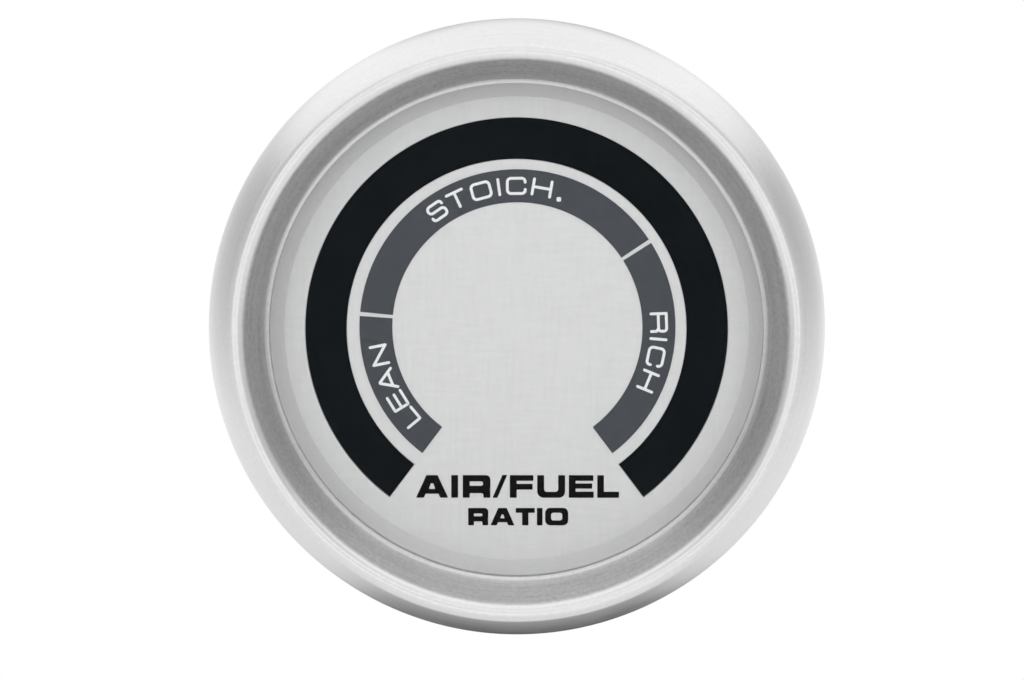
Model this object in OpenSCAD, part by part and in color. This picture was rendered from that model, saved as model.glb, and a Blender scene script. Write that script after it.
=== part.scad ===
// Panel gauge with a lit arc display, held by a strap and two knurled nuts.
// Each module builds its piece in the gauge's own frame: +Z points out of the
// dial, +Y points to twelve o'clock, and zero depth is the panel's front face.
// facing() then turns the gauge so that its dial looks along -Y.

/* [Case] */
// Outside diameter of the barrel that passes through the panel
barrel_d = 52; // [50:0.5:56]
// Depth of the case behind the panel's front face
barrel_len = 25; // [24:0.5:32]
// Wall thickness of the barrel
case_wall = 1.6; // [1.3:0.1:1.9]
// Thickness of the case's back wall
back_wall = 2; // [1.6:0.1:2.6]
// Length of the taper at the back of the barrel
taper_len = 3; // [2:0.5:5]
// Amount that the taper draws in on the radius
taper_in = 0.8; // [0.4:0.1:1]
// Thickness of the flange that the bezel is rolled behind
flange_t = 1.4; // [1:0.1:1.8]
// Diameter of the posts that the boards are screwed to
post_d = 5.6; // [5:0.1:6.2]
// Width of the bare label panel on the back
label_w = 22; // [14:0.5:26]
// Height of the bare label panel
label_h = 8; // [5:0.5:9]
// Depth of the bare label panel
label_deep = 0.3; // [0.2:0.05:0.6]

/* [Bezel] */
// How far the bezel stands out from the barrel on the radius
bezel_over = 2.4; // [2:0.05:2.8]
// Thickness of the bezel's metal
bezel_wall = 0.8; // [0.6:0.05:0.9]
// Height of the bezel's ridge above the lens gasket
bezel_rise = 3.57; // [2.8:0.05:4.4]
// Radius of the long curve up the bezel's side
side_round = 23; // [21:0.5:28]
// Radius of the bezel's round crown
crown_round = 1; // [0.95:0.05:1.3]
// Height of the square lip at the foot of the funnel
lip_h = 0.2; // [0.1:0.05:0.4]
// Radius on the hem's outer corner at the panel
hem_round = 0.3; // [0.2:0.05:0.5]

/* [Lens and dial] */
// How far the viewing opening lies inside the barrel's inner wall
view_in = 1.95; // [1.5:0.05:2.4]
// Thickness of the lens
lens_t = 1.9; // [1.2:0.1:2.6]
// Thickness of the gasket between lens and bezel
lens_gasket_t = 0.4; // [0.2:0.05:0.8]
// Width of the gasket between lens and bezel
lens_gasket_w = 1.2; // [0.8:0.1:1.6]
// Height of the spacer ring between dial and lens
spacer_h = 1.5; // [1:0.1:3]
// Amount that the spacer ring flares out from dial to lens
spacer_flare = 1.24; // [0.6:0.01:1.8]
// Thickness of the dial plate
dial_t = 0.6; // [0.4:0.05:1]
// Thickness of the gasket behind the dial
case_gasket_t = 0.4; // [0.2:0.05:0.8]
// Gap between the case's inner wall and the gasket behind the dial
case_gasket_in = 0.2; // [0.1:0.05:0.6]
// Thickness of the printed band on the dial
band_t = 0.05; // [0.03:0.01:0.1]
// Width of the printed band
band_w = 3.02; // [2:0.02:3.6]
// Width of bare dial between the window and the printed band
band_gap = 1.09; // [0.6:0.01:1.6]
// Height of the printed band's centre above the dial's centre
band_lift = 0.12; // [0:0.01:0.2]
// Distance of the printed band's centre to the right of the dial's centre
band_shift = 0.08; // [-0.2:0.01:0.2]
// Width of the bare lines that divide the printed band
divide_w = 0.34; // [0.2:0.02:0.6]
// Angle of the dividing line between the lean and the middle part
divide_lean = 175.1; // [165:0.1:185]
// Angle of the dividing line between the middle and the rich part
divide_rich = 33.1; // [22:0.1:42]

/* [Display] */
// Angle that the display window covers
window_sweep = 286; // [240:1:290]
// Width of the display window
window_w = 3.79; // [3:0.01:4.2]
// Width of bare dial between the spacer ring and the window
window_rim = 1.86; // [1.5:0.01:2.4]
// Drop of the window's centre below the dial's centre
window_drop = 0.03; // [0:0.01:0.25]
// Gap between the window and its slot in the dial
window_gap = 0.08; // [0.05:0.01:0.12]
// Depth of the window's face below the dial's face
window_sink = 0.1; // [0.05:0.01:0.2]
// Thickness of the window behind the dial
window_back = 1.2; // [0.8:0.1:2]
// Width of the baffle's wall outside the window's edge
baffle_w = 0.7; // [0.6:0.05:0.8]
// Number of lamps in the lean part
lean_count = 4; // [3:1:5]
// Number of lamps in the middle part
stoich_count = 10; // [8:1:11]
// Number of lamps in the rich part
rich_count = 6; // [4:1:6]
// Width of one lamp along the arc
lamp_w = 2; // [1.6:0.1:2.3]
// Gap round a lamp in its slot
lamp_gap = 0.1; // [0.05:0.01:0.15]
// Distance from the top of a lamp to the window
lamp_air = 0.6; // [0.3:0.1:1.5]
// Thickness of a lamp's square leads
lead_t = 0.5; // [0.4:0.05:0.6]
// Distance between a lamp's two leads
lead_pitch = 2.54; // [2:0.02:2.8]
// Length of the leads behind their board
lead_out = 1.2; // [0.6:0.1:1.6]

/* [Boards] */
// Depth of the display board's front behind the panel's front face
display_deep = 6; // [5:0.1:6.4]
// Thickness of each circuit board
board_t = 1.6; // [1.2:0.1:1.8]
// Distance between the two boards
board_space = 7.4; // [7:0.1:7.8]
// Gap between the boards' edges and the barrel's inner wall
board_gap = 0.5; // [0.3:0.05:0.7]
// Clearance round a lead in its board hole
hole_gap = 0.05; // [0.03:0.01:0.08]
// Diameter of the spacers between the boards
board_spacer_d = 4; // [3.4:0.1:4.4]
// Length of a driver chip
chip_l = 22.9; // [21.2:0.1:24]
// Width of a driver chip's body
chip_w = 6.35; // [5.8:0.05:6.8]
// Height of a driver chip's body
chip_h = 3.3; // [2.8:0.1:3.6]
// Gap between a driver chip and its board
chip_lift = 0.5; // [0.3:0.1:0.8]
// Distance between a chip's two rows of legs
chip_span = 7.62; // [7.4:0.02:7.9]
// Distance from one pin or leg to the next
pin_pitch = 2.54; // [2.4:0.01:2.6]
// Number of legs in each row of a chip
chip_legs = 9; // [7:1:9]
// Width of a chip's legs
leg_w = 0.5; // [0.4:0.05:0.6]
// Thickness of a chip's legs
leg_t = 0.3; // [0.2:0.05:0.35]
// Distance between the middles of the two chips
chip_spacing = 9.2; // [8.6:0.1:9.6]
// Thickness of the header's square pins
header_pin_t = 0.64; // [0.5:0.02:0.7]
// Height of the header's strip
header_h = 2.5; // [2:0.1:3]
// Gap between the header's ends and the board spacers
header_gap = 0.8; // [0.5:0.1:2]
// Diameter of the filter capacitor
cap_d = 6.3; // [5:0.1:6.6]
// Height of the filter capacitor
cap_h = 5.4; // [4:0.1:5.6]
// Diameter of the voltage regulator's round side
regulator_d = 4.8; // [4:0.1:5]
// Height of the voltage regulator's body
regulator_h = 4.2; // [3:0.1:4.6]
// Diameter of the protection diode
diode_d = 2.7; // [2:0.1:3]
// Length of the protection diode's body
diode_l = 5.2; // [4:0.1:5.6]
// Diameter of a resistor's body
resistor_d = 2.3; // [1.8:0.1:2.6]
// Length of a resistor's body
resistor_l = 6.3; // [5:0.1:6.8]

/* [Screws and studs] */
// Diameter of the board screws' shanks
screw_d = 2; // [1.6:0.1:2.2]
// Diameter of the board screws' heads
screw_head_d = 3.5; // [3:0.1:3.7]
// Height of the board screws' heads
screw_head_h = 1.4; // [1:0.1:1.8]
// Depth that the board screws reach into the posts
screw_bite = 4; // [3:0.1:4.6]
// Clearance round a screw on the radius
screw_gap = 0.1; // [0.05:0.01:0.15]
// Distance between the two mounting studs
stud_pitch = 24; // [23:0.5:27]
// Outside diameter of the studs' thread
stud_d = 4.16; // [4:0.02:4.3]
// Pitch of the studs' thread
thread_pitch = 0.794; // [0.7:0.002:0.9]
// Depth of the studs' thread
thread_deep = 0.35; // [0.2:0.01:0.45]
// Length of the studs behind the case
stud_out = 21; // [19.5:0.5:28]
// Diameter of the studs' heads inside the case
stud_head_d = 7.2; // [6:0.1:8]
// Height of the studs' heads
stud_head_h = 1.8; // [1.4:0.1:2.4]
// Diameter of the washers on the case's back
stud_washer_d = 9.4; // [8:0.1:10.5]
// Thickness of every washer
washer_t = 0.8; // [0.6:0.1:1.2]
// Distance across the flats of the nuts that hold the studs
nut_flats = 8.73; // [8:0.01:9.5]
// Thickness of the nuts that hold the studs
nut_t = 3.2; // [2.6:0.1:3.8]
// Clearance of a nut round its stud on the radius
nut_gap = 0.05; // [0.03:0.01:0.08]
// Clearance of a washer round its stud on the radius
washer_gap = 0.17; // [0.1:0.01:0.25]

/* [Connector] */
// Width of the connector
plug_w = 17; // [16:0.1:18]
// Height of the connector
plug_h = 7.5; // [7:0.1:8]
// Wall thickness of the connector
plug_wall = 1; // [0.8:0.05:1.2]
// Length of the connector behind the case
plug_out = 10; // [9:0.5:14]
// Width of the connector's flange inside the case
plug_flange = 1; // [0.6:0.1:1.2]
// Number of pins in the connector
plug_pins = 4; // [3:1:4]
// Distance from one connector pin to the next
plug_pitch = 3.5; // [3:0.1:3.8]
// Thickness of the connector's square pins
plug_pin_t = 1; // [0.8:0.05:1.2]
// Free depth in the connector beyond its pins
plug_free = 4.5; // [4.2:0.1:6]
// Width of the latch ridge on the connector
latch_w = 5; // [3:0.1:7]
// Height of the latch ridge
latch_h = 1; // [0.6:0.1:1.2]
// Length of the latch ridge
latch_l = 2; // [1.5:0.1:3]

/* [Clamp] */
// Width of the strap
strap_w = 14; // [12:0.5:15]
// Thickness of the strap
strap_t = 1.1; // [0.8:0.1:1.6]
// Gap between the strap's legs and the barrel
strap_gap = 0.9; // [0.85:0.05:1.4]
// Inner radius of the strap's bends
strap_bend = 1.5; // [1:0.1:2.5]
// Radius of the corners on the strap's feet
strap_corner = 2.5; // [1:0.1:4]
// Distance from the panel's front face to the strap's feet
panel_space = 6; // [5:0.1:9]
// Distance from the stud nuts to the strap
clamp_space = 5.5; // [5:0.1:7]
// Diameter of the washers on the strap
clamp_washer_d = 9; // [8:0.1:10]
// Gap between a knurled nut and its washer
thumb_gap = 0.1; // [0.05:0.01:0.2]
// Diameter of a knurled nut's collar
collar_d = 7.5; // [6.5:0.1:8.5]
// Length of a knurled nut's collar
collar_l = 2; // [1.5:0.1:3]
// Diameter of a knurled nut's head
thumb_d = 11; // [10:0.1:13]
// Length of a knurled nut's head
thumb_l = 4; // [3:0.1:5]
// Number of ridges round a knurled nut
knurls = 30; // [20:1:40]
// Depth of the grooves between the ridges
knurl_deep = 0.35; // [0.2:0.05:0.5]
// Chamfer on a knurled nut's edges
thumb_chamfer = 0.5; // [0.3:0.05:0.7]

/* [Hidden] */
$fn = 96;

// Overrun of every cut past the face that it opens
cut = 0.5;
// Gap between the stacked round pieces and the bezel's inner wall
seat_gap = 0.2;
// Undercut of the case inside the bezel's hem
neck_in = 0.4;
// Gap between the hem and the barrel's wall
hem_gap = 0.1;
// Clearance between a pushed-in piece and its opening on each side
slip = 0.1;

// Radii, from the barrel inward and outward
barrel_r = barrel_d / 2;
case_in_r = barrel_r - case_wall;
bezel_r = barrel_r + bezel_over;
neck_r = barrel_r - neck_in;
hem_in_r = barrel_r + hem_gap;
view_r = case_in_r - view_in;
dial_view_r = view_r - spacer_flare;
window_out_r = dial_view_r - window_rim;
window_in_r = window_out_r - window_w;
window_mid_r = (window_out_r + window_in_r) / 2;
band_out_r = window_in_r - band_gap;
band_in_r = band_out_r - band_w;
baffle_out_r = window_out_r + baffle_w;
baffle_in_r = window_in_r - baffle_w;
board_r = case_in_r - board_gap;
gasket_in_r = view_r + slip;
screw_r = baffle_out_r + screw_head_d / 2 + 2 * screw_gap;

// Depths of the stacked pieces, from the hem forward
flange_front = bezel_wall + flange_t;
dial_back = flange_front + case_gasket_t;
dial_front = dial_back + dial_t;
lens_back = dial_front + spacer_h;
lens_front = lens_back + lens_t;
land_z = lens_front + lens_gasket_t;
window_back_z = dial_back - window_back;

// Outer radii of the stacked pieces, inside the bezel's side
stack_r = bezel_in(dial_front) - seat_gap;
lens_r = bezel_in(lens_front) - seat_gap;

// Depths of the boards, from the panel back
display_front = -display_deep;
display_back = display_front - board_t;
driver_front = display_back - board_space;
driver_back = driver_front - board_t;
case_back = -barrel_len;
case_floor = case_back + back_wall;

// Outline of the bezel
lip_z = land_z + lip_h;
ridge_z = land_z + bezel_rise;
side_centre = [bezel_r - side_round, hem_round];
crown_turn = asin((ridge_z - crown_round - hem_round) / (side_round - crown_round));
crown_centre = side_centre + (side_round - crown_round) * [cos(crown_turn), sin(crown_turn)];
crown_off = crown_centre - [view_r, lip_z];
funnel_slope = atan2(crown_off.y, crown_off.x) + asin(crown_round / norm(crown_off));
// A point on the inner face of the funnel
funnel_in = [view_r + bezel_wall * sin(funnel_slope), lip_z - bezel_wall * cos(funnel_slope)];

// Lamps, counted clockwise from the lean end of the window
lamp_count = lean_count + stoich_count + rich_count;
window_start = 90 - window_sweep / 2;
window_end = 90 + window_sweep / 2;
lamp_step = window_sweep / lamp_count;
lamp_l = window_w + 2 * lamp_gap;
lamp_h = window_back_z - lamp_air - display_front;
baffle_turn = 2.5;
lead_hole_d = lead_t * sqrt(2) + 2 * hole_gap;

// Places on the driver board and on the case's back, as shares of a radius
chips_mid_share = 0.1;
header_down_share = 0.452;
resistor_x_share = 0.2594;
resistor_down_share = 0.678;
resistor_step_share = 0.134;
plug_up_share = 0.5577;
label_down_share = 0.577;
chip_up = board_r * chips_mid_share + chip_spacing / 2;
chip_low = chip_up - chip_spacing;
header_down = board_r * header_down_share;
resistor_x = board_r * resistor_x_share;
resistor_down = board_r * resistor_down_share;
resistor_step = board_r * resistor_step_share;
plug_up = barrel_r * plug_up_share;
label_down = barrel_r * label_down_share;

// Posts and screws
post_turn = 40;
post_turns = [post_turn, 180 - post_turn, 180 + post_turn, 360 - post_turn];
post_x = screw_r * cos(post_turn);
screw_end = driver_back - screw_bite;
post_hole_deep = screw_bite + cut;
cross_l_share = 0.6;
cross_w_share = 0.16;
cross_deep_share = 0.5;
screw_dome_share = 0.35;

// Parts on the driver board
header_room = 2 * (post_x - board_spacer_d / 2 - header_gap);
header_pins_n = floor(header_room / pin_pitch);
header_hole_d = header_pin_t * sqrt(2) + 2 * hole_gap;
header_inset = 0.3;
wire_d = 0.6;
wire_hole_d = wire_d + 2 * hole_gap;
wire_out = 1;
leg_hole_d = sqrt(leg_w * leg_w + leg_t * leg_t) + 2 * hole_gap;
leg_out = 0.15;
side_gap = 0.9;
side_parts_x = chip_l / 2 + side_gap + cap_d / 2;
cap_up = 2;
cap_wire_pitch = 2.5;
cap_groove = 0.3;
regulator_up = 4;
regulator_lift = 0.8;
regulator_flat = 1.2;
regulator_legs = 3;
regulator_leg_pitch = 1.27;
diode_down = 4.6;
diode_lift = 0.25;
diode_span = 7.2;
resistor_lift = 0.3;
resistor_span = 8.6;

// Studs, nuts and washers behind the case
stud_x = stud_pitch / 2;
stud_end = case_back - stud_out;
stud_tip = 0.5;
washer_back = case_back - washer_t;
nut_back = washer_back - nut_t;
nut_bore_r = stud_d / 2 + nut_gap;
washer_bore_r = stud_d / 2 + washer_gap;
nut_round_share = 0.93;
nut_chamfer_h = 0.4;

// Connector
plug_end = case_back - plug_out;
plug_pin_end = plug_end + plug_free;
plug_floor_front = case_floor + plug_flange;
plug_pin_lead = 0.6;
plug_hole_t = plug_pin_t + 2 * hole_gap;
latch_inset = 1;

// Clamp
leg_in_r = barrel_r + strap_gap;
leg_out_r = leg_in_r + strap_t;
foot_z = -panel_space;
web_front = nut_back - clamp_space;
web_back = web_front - strap_t;
clamp_washer_back = web_back - washer_t;
thumb_front = clamp_washer_back - thumb_gap;
thumb_back = thumb_front - collar_l - thumb_l;
thumb_bevel = 0.3;

// Turns a piece from its own frame so that the dial faces -Y
module facing() {
    rotate([90, 0, 0]) children();
}

// Places children on both studs
module at_studs() {
    for (side = [-1, 1])
        translate([side * stud_x, 0, 0]) children();
}

// Places children on the four posts
module at_posts() {
    for (turn = post_turns)
        rotate([0, 0, turn])
            translate([screw_r, 0, 0]) children();
}

// A straight ring between two depths
module ring(outer_r, inner_r, low, high) {
    difference() {
        translate([0, 0, low]) cylinder(r = outer_r, h = high - low);
        translate([0, 0, low - cut]) cylinder(r = inner_r, h = high - low + 2 * cut);
    }
}

// A part of a ring, from one angle to another
module sector(inner_r, outer_r, from, to, low, high) {
    rotate([0, 0, from])
        rotate_extrude(angle = to - from)
            translate([inner_r, low]) square([outer_r - inner_r, high - low]);
}

// A box centred on the axis in X and Y, between two depths
module block(width, height, low, high) {
    translate([-width / 2, -height / 2, low]) cube([width, height, high - low]);
}

// A bent wire lead: across from a body's end, then down through the board
module wire_lead(from, to, level, bottom) {
    translate([from, 0, level]) rotate([0, 90, 0]) cylinder(d = wire_d, h = to - from);
    translate([to, 0, bottom]) cylinder(d = wire_d, h = level - bottom);
    translate([to, 0, level]) sphere(d = wire_d);
}

// Points on an arc round a centre
function arc(centre, r, from, to, steps) = [
    for (i = [0:steps])
        let (a = from + (to - from) * i / steps)
            centre + r * [cos(a), sin(a)]
];

// Crossing of two lines, each given by a point and an angle
function crossing(p, a, q, b) =
    p + [cos(a), sin(a)] * ((q.x - p.x) * sin(b) - (q.y - p.y) * cos(b)) / sin(b - a);

// Angle of a lamp, counted clockwise from the lean end
function lamp_turn(i) = window_end - lamp_step * (i + 0.5);

// Radius of the bezel's inner face at a depth on its side
function bezel_in(z) =
    bezel_r - side_round + sqrt(pow(side_round - bezel_wall, 2) - pow(z - hem_round, 2));

// Bezel: a hem behind the flange, a side that curves in to a round crown, and
// a funnel down to the lens
function bezel_points() = concat(
    [[hem_in_r, 0]],
    arc([bezel_r - hem_round, hem_round], hem_round, -90, 0, 4),
    arc(side_centre, side_round, crown_turn / 12, crown_turn * 11 / 12, 10),
    arc(crown_centre, crown_round, crown_turn, 90 + funnel_slope, 12),
    [[view_r, lip_z], [view_r, land_z]],
    [crossing(funnel_in, funnel_slope, [0, land_z], 0)],
    arc(crown_centre, crown_round - bezel_wall, 90 + funnel_slope, crown_turn, 6),
    arc(side_centre, side_round - bezel_wall, crown_turn * 11 / 12, crown_turn / 12, 10),
    [[bezel_in(bezel_wall), bezel_wall], [hem_in_r, bezel_wall]]
);

module bezel() {
    color([0.8, 0.8, 0.81]) facing()
        rotate_extrude() polygon(bezel_points());
}

module lens_gasket() {
    color([0.1, 0.1, 0.1]) facing()
        ring(gasket_in_r + lens_gasket_w, gasket_in_r, lens_front, land_z);
}

module lens() {
    color([0.9, 0.95, 1, 0.3]) facing()
        translate([0, 0, lens_back]) cylinder(r = lens_r, h = lens_t);
}

// Spacer: flares out from the dial to the lens
module spacer_ring() {
    color([0.7, 0.7, 0.71]) facing()
        rotate_extrude()
            polygon([
                [dial_view_r, dial_front], [lens_r, dial_front],
                [lens_r, lens_back], [view_r, lens_back]
            ]);
}

// Dial: a flat plate with the arc slot that the window fills
module dial() {
    color([0.84, 0.84, 0.84]) facing()
        difference() {
            translate([0, 0, dial_back]) cylinder(r = stack_r, h = dial_t);
            translate([0, -window_drop, 0])
                sector(window_in_r, window_out_r, window_start, window_end,
                    dial_back - cut, dial_front + cut);
        }
}

// Printed band: three arcs with bare lines between them
module scale_band() {
    edges = [window_start, divide_rich, divide_lean, window_end];
    half_line = asin(divide_w / 2 / ((band_in_r + band_out_r) / 2));
    trims = [0, half_line, half_line, 0];
    color([0.3, 0.31, 0.32]) facing() translate([band_shift, band_lift, 0])
        for (i = [0:2])
            sector(band_in_r, band_out_r, edges[i] + trims[i], edges[i + 1] - trims[i + 1],
                dial_front, dial_front + band_t);
}

// Window: a wide base behind the dial and a raised arc that fills the slot
module display_window() {
    gap_turn = asin(window_gap / window_in_r);
    color([0.06, 0.08, 0.1]) facing() {
        sector(baffle_in_r, baffle_out_r, window_start - baffle_turn,
            window_end + baffle_turn, window_back_z, dial_back);
        translate([0, -window_drop, 0])
            sector(window_in_r + window_gap, window_out_r - window_gap,
                window_start + gap_turn, window_end - gap_turn,
                window_back_z, dial_front - window_sink);
    }
}

// Baffle: one slot for each lamp keeps its light to its own place
module led_baffle() {
    color([0.12, 0.12, 0.12]) facing()
        difference() {
            sector(baffle_in_r, baffle_out_r, window_start - baffle_turn,
                window_end + baffle_turn, display_front, window_back_z);
            for (i = [0:lamp_count - 1])
                rotate([0, 0, lamp_turn(i)])
                    translate([window_mid_r, 0, 0])
                        block(lamp_l + 2 * lamp_gap, lamp_w + 2 * lamp_gap,
                            display_front - cut, window_back_z + cut);
        }
}

// Row of lamps, each with two leads through the display board
module lamps(first, count) {
    for (i = [first:first + count - 1])
        rotate([0, 0, lamp_turn(i)])
            translate([window_mid_r, 0, 0]) {
                block(lamp_l, lamp_w, display_front, display_front + lamp_h);
                for (side = [-1, 1])
                    translate([side * lead_pitch / 2, 0, 0])
                        block(lead_t, lead_t, display_back - lead_out, display_front);
            }
}

module lean_leds() {
    color([0.7, 0.1, 0.08]) facing() lamps(0, lean_count);
}

module stoich_leds() {
    color([0.8, 0.6, 0.1]) facing() lamps(lean_count, stoich_count);
}

module rich_leds() {
    color([0.15, 0.5, 0.15]) facing() lamps(lean_count + stoich_count, rich_count);
}

// Places children on every header pin
module at_header_pins() {
    for (i = [0:header_pins_n - 1])
        for (side = [-1, 1])
            translate([
                (i - (header_pins_n - 1) / 2) * pin_pitch,
                side * pin_pitch / 2 - header_down,
                0
            ]) children();
}

// Display board: lamps on its front, header pins from its back
module display_board() {
    color([0.1, 0.35, 0.18]) facing()
        difference() {
            translate([0, 0, display_back]) cylinder(r = board_r, h = board_t);
            at_posts() translate([0, 0, display_back - cut])
                cylinder(d = screw_d + 2 * screw_gap, h = board_t + 2 * cut);
            for (i = [0:lamp_count - 1])
                rotate([0, 0, lamp_turn(i)])
                    for (side = [-1, 1])
                        translate([window_mid_r + side * lead_pitch / 2, 0, display_back - cut])
                            cylinder(d = lead_hole_d, h = board_t + 2 * cut, $fn = 24);
            at_header_pins() translate([0, 0, display_back - cut])
                cylinder(d = header_hole_d, h = board_t + 2 * cut, $fn = 24);
        }
}

// Header strip on the driver board
module board_header() {
    color([0.08, 0.08, 0.08]) facing()
        difference() {
            translate([0, -header_down, 0])
                block(header_pins_n * pin_pitch, 2 * pin_pitch,
                    driver_front, driver_front + header_h);
            at_header_pins()
                block(header_pin_t + 2 * hole_gap, header_pin_t + 2 * hole_gap,
                    driver_front - cut, driver_front + header_h + cut);
        }
}

module header_pins() {
    color([0.8, 0.7, 0.35]) facing()
        at_header_pins()
            block(header_pin_t, header_pin_t, driver_back - wire_out,
                display_front - header_inset);
}

module board_spacers() {
    color([0.75, 0.75, 0.76]) facing()
        at_posts()
            ring(board_spacer_d / 2, screw_d / 2 + screw_gap, driver_front, display_back);
}

// Places children on every leg of both driver chips
module at_chip_legs() {
    for (up = [chip_up, chip_low])
        translate([0, up, 0]) at_legs() children();
}

module at_legs() {
    for (i = [0:chip_legs - 1])
        for (side = [-1, 1])
            translate([
                (i - (chip_legs - 1) / 2) * pin_pitch,
                side * (chip_span / 2 + leg_out),
                0
            ]) children();
}

// Places children on the voltage regulator's legs
module at_regulator_legs() {
    for (i = [0:regulator_legs - 1])
        translate([
            side_parts_x,
            regulator_up + (i - (regulator_legs - 1) / 2) * regulator_leg_pitch,
            0
        ]) children();
}

// Places children on the capacitor's wires
module at_capacitor_wires() {
    for (side = [-1, 1])
        translate([-side_parts_x, cap_up + side * cap_wire_pitch / 2, 0]) children();
}

// Places children on the middle of every resistor
module at_resistors() {
    for (side = [-1, 1])
        for (row = [0, 1])
            translate([side * resistor_x, -resistor_down - row * resistor_step, 0]) children();
}

// Places children on every connector pin
module at_plug_pins() {
    for (i = [0:plug_pins - 1])
        translate([(i - (plug_pins - 1) / 2) * plug_pitch, plug_up, 0]) children();
}

// One hole through the driver board
module driver_hole(d) {
    translate([0, 0, driver_back - cut]) cylinder(d = d, h = board_t + 2 * cut, $fn = 24);
}

module driver_board() {
    color([0.1, 0.35, 0.18]) facing()
        difference() {
            translate([0, 0, driver_back]) cylinder(r = board_r, h = board_t);
            at_posts() driver_hole(screw_d + 2 * screw_gap);
            at_header_pins() driver_hole(header_hole_d);
            at_chip_legs() driver_hole(leg_hole_d);
            at_regulator_legs() driver_hole(lead_hole_d);
            at_capacitor_wires() driver_hole(wire_hole_d);
            at_resistors()
                for (side = [-1, 1])
                    translate([side * resistor_span / 2, 0, 0]) driver_hole(wire_hole_d);
            for (side = [-1, 1])
                translate([side_parts_x, side * diode_span / 2 - diode_down, 0])
                    driver_hole(wire_hole_d);
            at_plug_pins() driver_hole(plug_pin_t * sqrt(2) + 2 * hole_gap);
        }
}

// Driver chips: each body carries two rows of legs that turn down to the board
module driver_chips() {
    leg_top = driver_front + chip_lift + chip_h / 2;
    color([0.1, 0.1, 0.11]) facing()
        for (up = [chip_up, chip_low])
            translate([0, up, 0]) {
                block(chip_l, chip_w, driver_front + chip_lift,
                    driver_front + chip_lift + chip_h);
                at_legs()
                    block(leg_w, leg_t, driver_back - wire_out, leg_top);
                for (i = [0:chip_legs - 1])
                    translate([(i - (chip_legs - 1) / 2) * pin_pitch, 0, 0])
                        block(leg_w, chip_span + 2 * leg_out, leg_top - leg_t, leg_top);
            }
}

// Voltage regulator: a round body cut flat on one side, on three legs
module voltage_regulator() {
    low = driver_front + regulator_lift;
    color([0.1, 0.1, 0.11]) facing() {
        intersection() {
            translate([side_parts_x, regulator_up, low])
                cylinder(d = regulator_d, h = regulator_h);
            translate([side_parts_x - regulator_flat, regulator_up - regulator_d, low - cut])
                cube([2 * regulator_d, 2 * regulator_d, regulator_h + 2 * cut]);
        }
        at_regulator_legs()
            block(lead_t, lead_t, driver_back - wire_out, low);
    }
}

// Filter capacitor: a can with a rolled groove near its foot
module filter_capacitor() {
    color([0.15, 0.17, 0.22]) facing() {
        translate([-side_parts_x, cap_up, driver_front])
            rotate_extrude()
                difference() {
                    square([cap_d / 2, cap_h]);
                    translate([cap_d / 2 + cap_groove, cap_h / 4])
                        circle(r = 2 * cap_groove, $fn = 24);
                }
        at_capacitor_wires()
            translate([0, 0, driver_back - wire_out])
                cylinder(d = wire_d, h = board_t + wire_out, $fn = 24);
    }
}

// Protection diode: lies along the board with its leads bent down
module protection_diode() {
    level = driver_front + diode_lift + diode_d / 2;
    color([0.1, 0.1, 0.1]) facing()
        translate([side_parts_x, -diode_down, 0])
            rotate([0, 0, 90]) {
                translate([-diode_l / 2, 0, level])
                    rotate([0, 90, 0]) cylinder(d = diode_d, h = diode_l);
                for (turn = [0, 180])
                    rotate([0, 0, turn])
                        wire_lead(0, diode_span / 2, level, driver_back - wire_out, $fn = 24);
            }
}

module resistors() {
    level = driver_front + resistor_lift + resistor_d / 2;
    color([0.75, 0.65, 0.5]) facing()
        at_resistors() {
            translate([-resistor_l / 2, 0, level])
                rotate([0, 90, 0]) cylinder(d = resistor_d, h = resistor_l);
            for (turn = [0, 180])
                rotate([0, 0, turn])
                    wire_lead(0, resistor_span / 2, level, driver_back - wire_out, $fn = 24);
        }
}

// Board screws: domed heads with a cross recess, shanks into the posts
module board_screws() {
    head_top = display_front + screw_head_h;
    straight = screw_head_h * (1 - screw_dome_share);
    color([0.75, 0.75, 0.76]) facing()
        at_posts()
            difference() {
                union() {
                    translate([0, 0, display_front]) {
                        cylinder(d = screw_head_d, h = straight);
                        translate([0, 0, straight])
                            cylinder(r1 = screw_head_d / 2,
                                r2 = screw_head_d / 2 - screw_head_h + straight,
                                h = screw_head_h - straight);
                    }
                    translate([0, 0, screw_end])
                        cylinder(d = screw_d, h = display_front - screw_end);
                }
                for (turn = [0, 90])
                    rotate([0, 0, turn])
                        block(screw_head_d * cross_l_share, screw_head_d * cross_w_share,
                            head_top - screw_head_h * cross_deep_share, head_top + cut);
            }
}

// Case: barrel, undercut neck and flange outside, boards' posts inside
module case() {
    color([0.13, 0.13, 0.13]) facing()
        difference() {
            union() {
                difference() {
                    rotate_extrude()
                        polygon([
                            [0, case_back], [barrel_r - taper_in, case_back],
                            [barrel_r, case_back + taper_len], [barrel_r, 0],
                            [neck_r, 0], [neck_r, bezel_wall],
                            [stack_r, bezel_wall], [stack_r, flange_front],
                            [0, flange_front]
                        ]);
                    translate([0, 0, case_floor])
                        cylinder(r = case_in_r, h = flange_front - case_floor + cut);
                }
                at_posts()
                    translate([0, 0, case_floor - back_wall / 2])
                        cylinder(d = post_d, h = driver_back - case_floor + back_wall / 2);
            }
            at_posts()
                translate([0, 0, driver_back - post_hole_deep])
                    cylinder(d = screw_d + screw_gap, h = post_hole_deep + cut);
            at_studs()
                translate([0, 0, case_back - cut])
                    cylinder(r = washer_bore_r, h = back_wall + 2 * cut);
            translate([0, plug_up, 0])
                block(plug_w + 2 * slip, plug_h + 2 * slip, case_back - cut, case_floor + cut);
            translate([0, -label_down, 0])
                block(label_w, label_h, case_back - cut, case_back + label_deep);
        }
}

module case_gasket() {
    color([0.08, 0.08, 0.08]) facing()
        ring(stack_r, case_in_r + case_gasket_in, flange_front, dial_back);
}

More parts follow.
